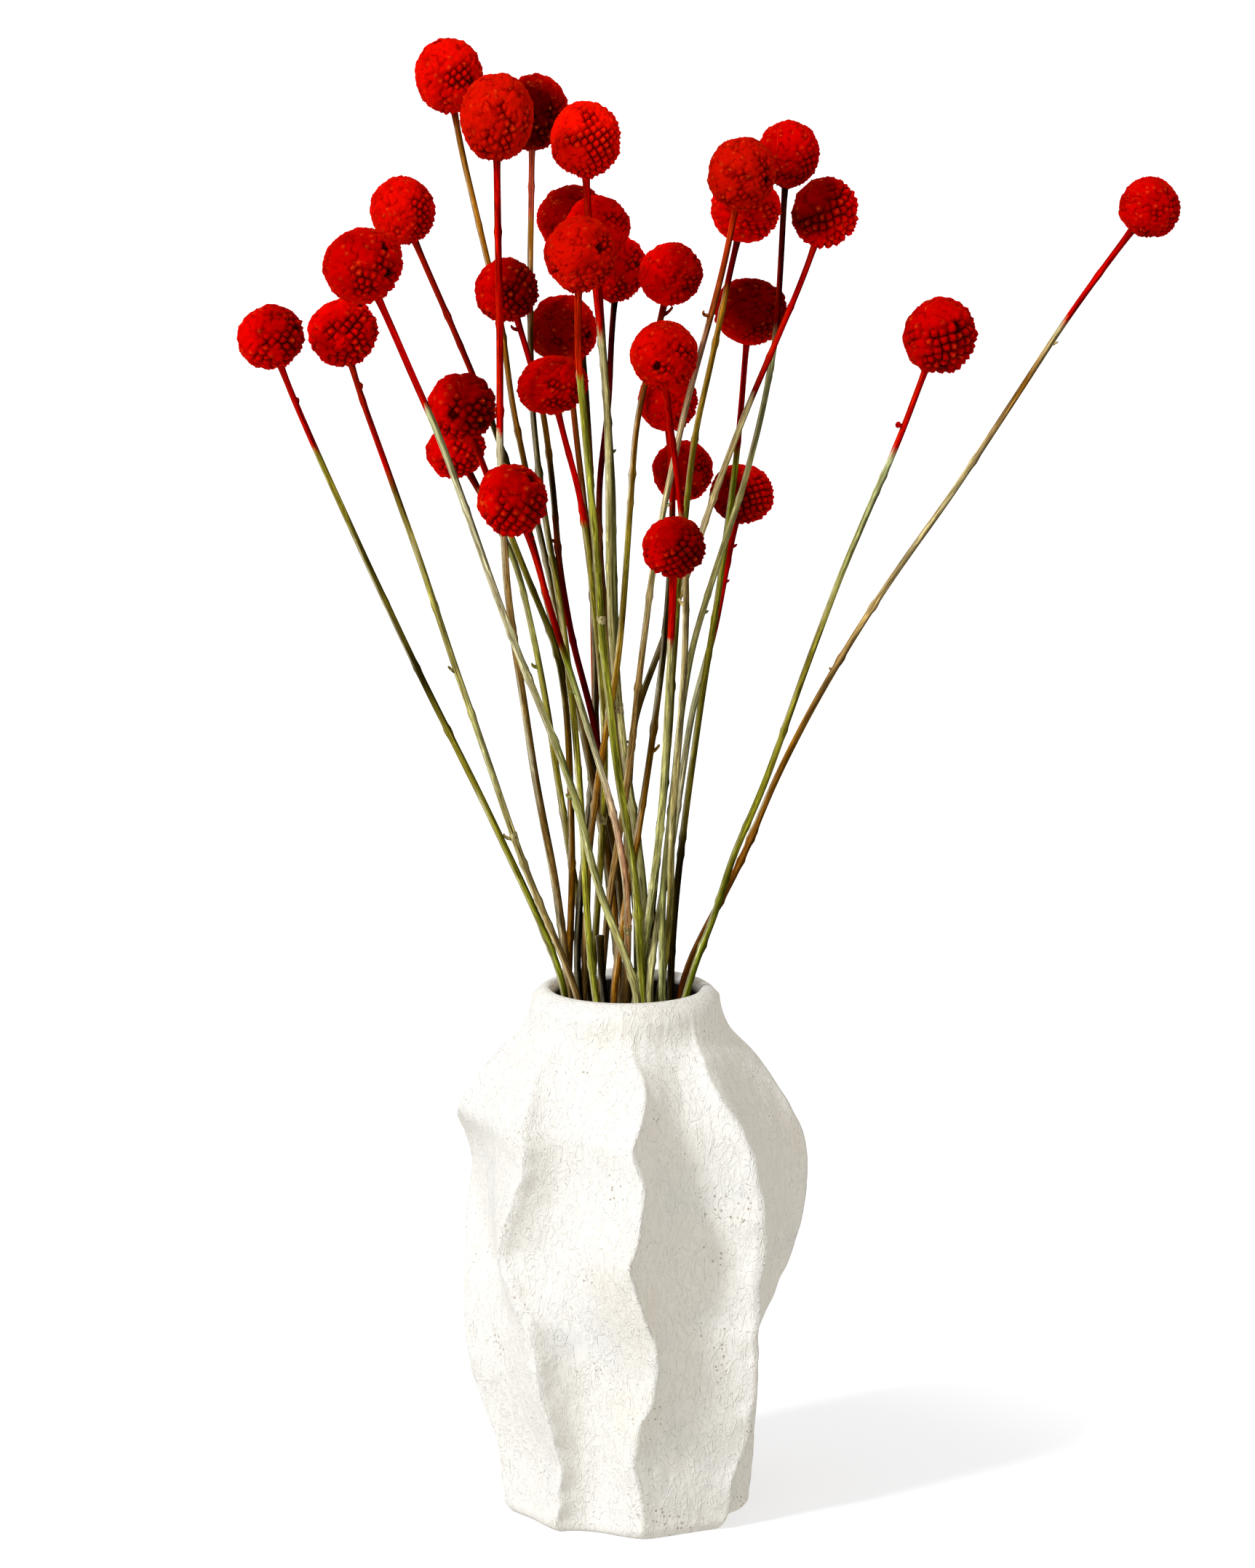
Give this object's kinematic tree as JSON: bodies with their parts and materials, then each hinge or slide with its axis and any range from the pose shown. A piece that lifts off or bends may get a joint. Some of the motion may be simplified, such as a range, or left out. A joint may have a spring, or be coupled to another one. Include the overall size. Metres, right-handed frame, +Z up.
{
  "type": "dried billy buttons in a vase",
  "caption": "Dried billy buttons dyed red: round flower heads on long bare stems, fanned out of the narrow mouth of a standing clay vase with wavy upright ridges.",
  "frame": {"origin": "middle of the vase's foot, on the surface that the vase stands on", "axes": "+Z up along the vase, -Y towards the front from which the bunch is seen, +X to the right of that view"},
  "size_m": [0.3593, 0.1582, 0.5732],
  "materials": {
    "clay": "matt, unglazed and trowelled, with fine pits",
    "flower_head": "dyed, matt and velvety, made of small tight florets",
    "stem": "dry and fibrous, with a slight sheen"
  },
  "bodies": {
    "root": {"vase": "clay", "flower_head_01": "flower_head", "flower_head_02": "flower_head", "flower_head_03": "flower_head", "flower_head_04": "flower_head", "flower_head_05": "flower_head", "flower_head_06": "flower_head", "flower_head_07": "flower_head", "flower_head_08": "flower_head", "flower_head_09": "flower_head", "flower_head_10": "flower_head", "flower_head_11": "flower_head", "flower_head_12": "flower_head", "flower_head_13": "flower_head", "flower_head_14": "flower_head", "flower_head_15": "flower_head", "flower_head_16": "flower_head", "flower_head_17": "flower_head", "flower_head_18": "flower_head", "flower_head_19": "flower_head", "flower_head_20": "flower_head", "flower_head_21": "flower_head", "flower_head_22": "flower_head", "flower_head_23": "flower_head", "flower_head_24": "flower_head", "flower_head_25": "flower_head", "flower_head_26": "flower_head", "flower_head_27": "flower_head", "flower_head_28": "flower_head", "flower_head_29": "flower_head", "flower_head_30": "flower_head", "flower_head_31": "flower_head", "stem_01": "stem", "stem_02": "stem", "stem_03": "stem", "stem_04": "stem", "stem_05": "stem", "stem_06": "stem", "stem_09": "stem", "stem_10": "stem", "stem_11": "stem", "stem_12": "stem", "stem_13": "stem", "stem_14": "stem", "stem_15": "stem", "stem_16": "stem", "stem_17": "stem", "stem_18": "stem", "stem_19": "stem", "stem_20": "stem", "stem_21": "stem", "stem_22": "stem", "stem_26": "stem", "stem_27": "stem", "stem_28": "stem", "stem_29": "stem", "stem_31": "stem", "stems_left": "stem", "stems_back": "stem", "stems_right": "stem"}
  },
  "joints": []
}
